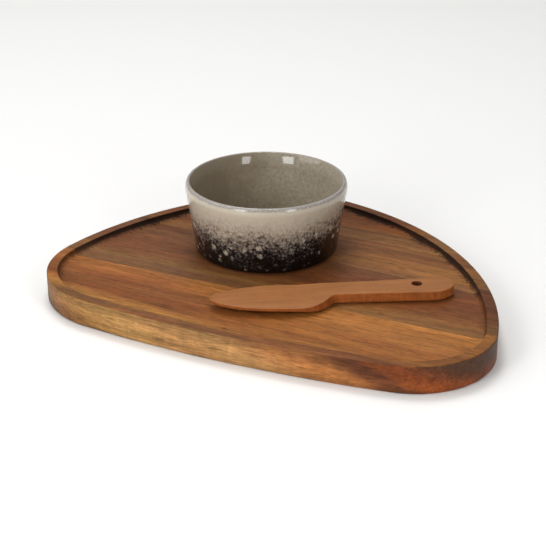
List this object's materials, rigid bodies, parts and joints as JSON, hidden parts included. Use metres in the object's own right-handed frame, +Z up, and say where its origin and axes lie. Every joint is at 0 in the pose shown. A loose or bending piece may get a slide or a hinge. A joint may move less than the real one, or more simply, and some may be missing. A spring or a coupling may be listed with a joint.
{
  "type": "chip and dip server",
  "caption": "Rounded three-cornered wooden serving tray with a raised rim, a straight-sided glazed dip bowl standing on it and a wooden spreader lying beside the bowl.",
  "frame": {"origin": "middle of the tray's box, on the surface that the tray stands on", "axes": "+X along the grain and the long front side, +Y towards the back corner, +Z up"},
  "size_m": [0.3358, 0.254, 0.0705],
  "materials": {
    "acacia_front": "oiled acacia, orange brown with a pale sapwood band, satin",
    "acacia_middle": "oiled acacia, grey to olive brown with dark pores, satin",
    "acacia_rear": "oiled acacia, streaked reddish brown, satin",
    "acacia_back": "oiled acacia, dark brown, satin",
    "bowl_glaze": "glossy reactive glaze, cream above and speckled black below, taupe inside",
    "spreader_wood": "lightly oiled fine-grained hardwood, pinkish orange, satin"
  },
  "bodies": {
    "tray": {"front_stave": "acacia_front", "middle_stave": "acacia_middle", "rear_stave": "acacia_rear", "back_corner_stave": "acacia_back"},
    "bowl": {"dip_bowl": "bowl_glaze"},
    "spreader": {"spreader": "spreader_wood"}
  },
  "joints": [
    {"name": "bowl_lift", "type": "slide", "parent": "tray", "child": "bowl", "axis": [0, 0, 1], "range_m": [0, 0.12]},
    {"name": "spreader_lift", "type": "slide", "parent": "tray", "child": "spreader", "axis": [0, 0, 1], "range_m": [0, 0.1]}
  ]
}
